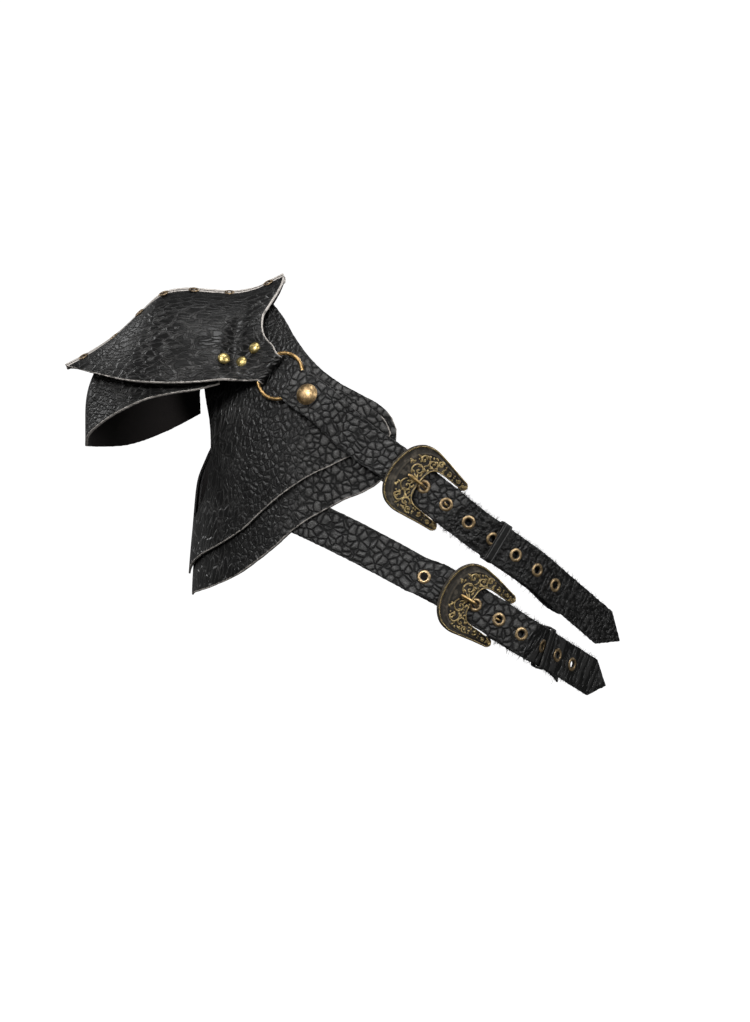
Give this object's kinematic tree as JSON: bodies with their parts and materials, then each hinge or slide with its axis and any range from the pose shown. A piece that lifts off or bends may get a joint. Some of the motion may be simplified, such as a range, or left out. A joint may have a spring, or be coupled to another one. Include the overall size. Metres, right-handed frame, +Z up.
{
  "type": "pauldron",
  "caption": "Worn leather shoulder guard for one shoulder, with layered chest and back panels, a ring and buckled body straps.",
  "frame": {"origin": "on top of the wearer's shoulder, in the middle between front and back, where the shoulder cap rests", "axes": "+X towards the wearer's other shoulder, +Y towards the wearer's back, +Z up; the front faces -Y"},
  "size_m": [0.5547, 0.272, 0.4222],
  "materials": {
    "shoulder_leather": "black, finely wrinkled, waxed",
    "chest_leather": "black, crackled, matt with rubbed gloss",
    "strap_leather": "black, pebbled, matt",
    "aged_brass": "aged, rubbed bright on the high places",
    "eyelet_brass": "antique, pinkish, worn",
    "antique_bronze": "antique bronze, dark in the hollows"
  },
  "bodies": {
    "root": {"front_shoulder_plate": "shoulder_leather", "back_shoulder_plate": "shoulder_leather", "front_arm_plate": "shoulder_leather", "back_arm_plate": "shoulder_leather", "chest_panel_outer": "chest_leather", "chest_panel_under": "chest_leather", "back_panel_outer": "chest_leather", "back_panel_under": "chest_leather", "upper_strap": "strap_leather", "lower_strap": "strap_leather", "upper_buckle_strap": "strap_leather", "lower_buckle_strap": "strap_leather", "upper_keeper": "strap_leather", "lower_keeper": "strap_leather", "shoulder_ring": "aged_brass", "dome_stud_1": "aged_brass", "dome_stud_2": "aged_brass", "dome_stud_3": "aged_brass", "back_rivet_1": "aged_brass", "back_rivet_2": "aged_brass", "back_plate_rivet": "aged_brass", "crest_eyelet_1": "eyelet_brass", "crest_eyelet_2": "eyelet_brass", "crest_eyelet_3": "eyelet_brass", "crest_eyelet_4": "eyelet_brass", "crest_eyelet_5": "eyelet_brass", "crest_eyelet_6": "eyelet_brass", "crest_eyelet_7": "eyelet_brass", "upper_strap_eyelet_1": "eyelet_brass", "upper_strap_eyelet_2": "eyelet_brass", "upper_strap_eyelet_3": "eyelet_brass", "upper_strap_eyelet_4": "eyelet_brass", "upper_strap_eyelet_5": "eyelet_brass", "upper_strap_eyelet_6": "eyelet_brass", "upper_strap_eyelet_7": "eyelet_brass", "lower_strap_eyelet_1": "eyelet_brass", "lower_strap_eyelet_2": "eyelet_brass", "lower_strap_eyelet_3": "eyelet_brass", "lower_strap_eyelet_4": "eyelet_brass", "lower_strap_eyelet_5": "eyelet_brass", "lower_strap_eyelet_6": "eyelet_brass", "lower_strap_eyelet_7": "eyelet_brass", "lower_strap_eyelet_8": "eyelet_brass", "strap_rivet": "antique_bronze", "upper_buckle": "antique_bronze", "lower_buckle": "antique_bronze", "upper_prong": "antique_bronze", "lower_prong": "antique_bronze"}
  },
  "joints": []
}
